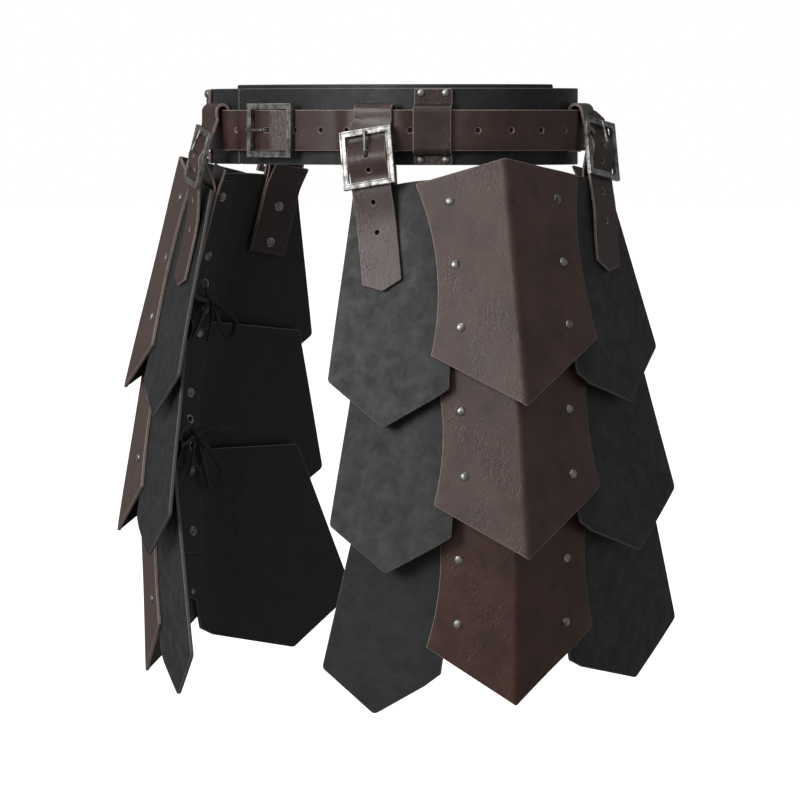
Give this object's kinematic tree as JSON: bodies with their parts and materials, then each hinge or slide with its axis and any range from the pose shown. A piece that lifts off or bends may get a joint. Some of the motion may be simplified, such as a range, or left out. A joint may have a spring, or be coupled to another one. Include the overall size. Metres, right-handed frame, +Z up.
{
  "type": "thigh armor",
  "caption": "Leather waist belt with a pair of laced, three-tier thigh guards that hang from it on buckled straps.",
  "frame": {"origin": "centre of the waist ring at half the height of the black base belt", "axes": "+Z up, -Y to the wearer's front, +X to the wearer's left"},
  "size_m": [0.4756, 0.2898, 0.4884],
  "materials": {
    "black_leather": "satin, mottled",
    "brown_leather": "satin, creased",
    "antique_steel": "antique silver",
    "lace_leather": "satin"
  },
  "bodies": {
    "belt": {"base_belt": "black_leather", "base_belt_overlap": "black_leather", "waist_strap": "brown_leather", "belt_keepers": "brown_leather", "keeper_rivets": "antique_steel", "waist_buckle_frame": "antique_steel", "strap_loops": "brown_leather"},
    "waist_prong": {"waist_prong": "antique_steel"},
    "left_upper_lame": {"left_upper_front_panel": "black_leather", "left_upper_rear_panel": "black_leather", "left_upper_ridge_plate": "brown_leather", "left_upper_rivets": "antique_steel", "left_upper_lace_strips": "black_leather", "left_upper_rings": "antique_steel", "left_upper_laces": "lace_leather", "left_strap_tails": "brown_leather", "left_strap_folds": "brown_leather", "left_buckle_frames": "antique_steel"},
    "left_middle_lame": {"left_middle_front_panel": "black_leather", "left_middle_rear_panel": "black_leather", "left_middle_ridge_plate": "brown_leather", "left_middle_rivets": "antique_steel", "left_middle_lace_strips": "black_leather", "left_middle_rings": "antique_steel", "left_lower_laces": "lace_leather"},
    "left_lower_lame": {"left_lower_front_panel": "black_leather", "left_lower_rear_panel": "black_leather", "left_lower_ridge_plate": "brown_leather", "left_lower_rivets": "antique_steel", "left_lower_lace_strips": "black_leather", "left_lower_rings": "antique_steel"},
    "left_front_prong": {"left_front_prong": "antique_steel"},
    "left_rear_prong": {"left_rear_prong": "antique_steel"},
    "right_upper_lame": {"right_upper_front_panel": "black_leather", "right_upper_rear_panel": "black_leather", "right_upper_ridge_plate": "brown_leather", "right_upper_rivets": "antique_steel", "right_upper_lace_strips": "black_leather", "right_upper_rings": "antique_steel", "right_upper_laces": "lace_leather", "right_strap_tails": "brown_leather", "right_strap_folds": "brown_leather", "right_buckle_frames": "antique_steel"},
    "right_middle_lame": {"right_middle_front_panel": "black_leather", "right_middle_rear_panel": "black_leather", "right_middle_ridge_plate": "brown_leather", "right_middle_rivets": "antique_steel", "right_middle_lace_strips": "black_leather", "right_middle_rings": "antique_steel", "right_lower_laces": "lace_leather"},
    "right_lower_lame": {"right_lower_front_panel": "black_leather", "right_lower_rear_panel": "black_leather", "right_lower_ridge_plate": "brown_leather", "right_lower_rivets": "antique_steel", "right_lower_lace_strips": "black_leather", "right_lower_rings": "antique_steel"},
    "right_front_prong": {"right_front_prong": "antique_steel"},
    "right_rear_prong": {"right_rear_prong": "antique_steel"}
  },
  "joints": [
    {"name": "waist_prong_lift", "type": "hinge", "parent": "belt", "child": "waist_prong", "pos_m": [-0.00806, -0.12288, -0.003], "axis": [0, 0, 1], "range_deg": [0, 8]},
    {"name": "left_upper_swing", "type": "hinge", "parent": "belt", "child": "left_upper_lame", "pos_m": [0.09166, -0.11677, -0.00217], "axis": [-0.4353, -0.8995, -0.0363], "range_deg": [0, 22]},
    {"name": "left_middle_swing", "type": "hinge", "parent": "left_upper_lame", "child": "left_middle_lame", "pos_m": [0.1675, -0.08302, -0.15141], "axis": [-0.4692, -0.883, -0.0138], "range_deg": [-3, 1]},
    {"name": "left_lower_swing", "type": "hinge", "parent": "left_middle_lame", "child": "left_lower_lame", "pos_m": [0.17736, -0.08836, -0.26276], "axis": [-0.4702, -0.8825, -0.009], "range_deg": [-3, 1]},
    {"name": "left_front_prong_lift", "type": "hinge", "parent": "left_upper_lame", "child": "left_front_prong", "pos_m": [0.09681, -0.11883, -0.0247], "axis": [0.8725, 0.4626, 0.1573], "range_deg": [0, 8]},
    {"name": "left_rear_prong_lift", "type": "hinge", "parent": "left_upper_lame", "child": "left_rear_prong", "pos_m": [0.17962, 0.05228, -0.01778], "axis": [-0.1898, 0.9697, -0.1537], "range_deg": [0, 8]},
    {"name": "right_upper_swing", "type": "hinge", "parent": "belt", "child": "right_upper_lame", "pos_m": [-0.09166, -0.11677, -0.00217], "axis": [-0.4353, 0.8995, 0.0363], "range_deg": [0, 22]},
    {"name": "right_middle_swing", "type": "hinge", "parent": "right_upper_lame", "child": "right_middle_lame", "pos_m": [-0.1675, -0.08302, -0.15141], "axis": [-0.4692, 0.883, 0.0138], "range_deg": [-3, 1]},
    {"name": "right_lower_swing", "type": "hinge", "parent": "right_middle_lame", "child": "right_lower_lame", "pos_m": [-0.17736, -0.08836, -0.26276], "axis": [-0.4702, 0.8825, 0.009], "range_deg": [-3, 1]},
    {"name": "right_front_prong_lift", "type": "hinge", "parent": "right_upper_lame", "child": "right_front_prong", "pos_m": [-0.09681, -0.11883, -0.0247], "axis": [0.8725, -0.4626, -0.1573], "range_deg": [0, 8]},
    {"name": "right_rear_prong_lift", "type": "hinge", "parent": "right_upper_lame", "child": "right_rear_prong", "pos_m": [-0.17962, 0.05228, -0.01778], "axis": [-0.1898, -0.9697, 0.1537], "range_deg": [0, 8]}
  ]
}
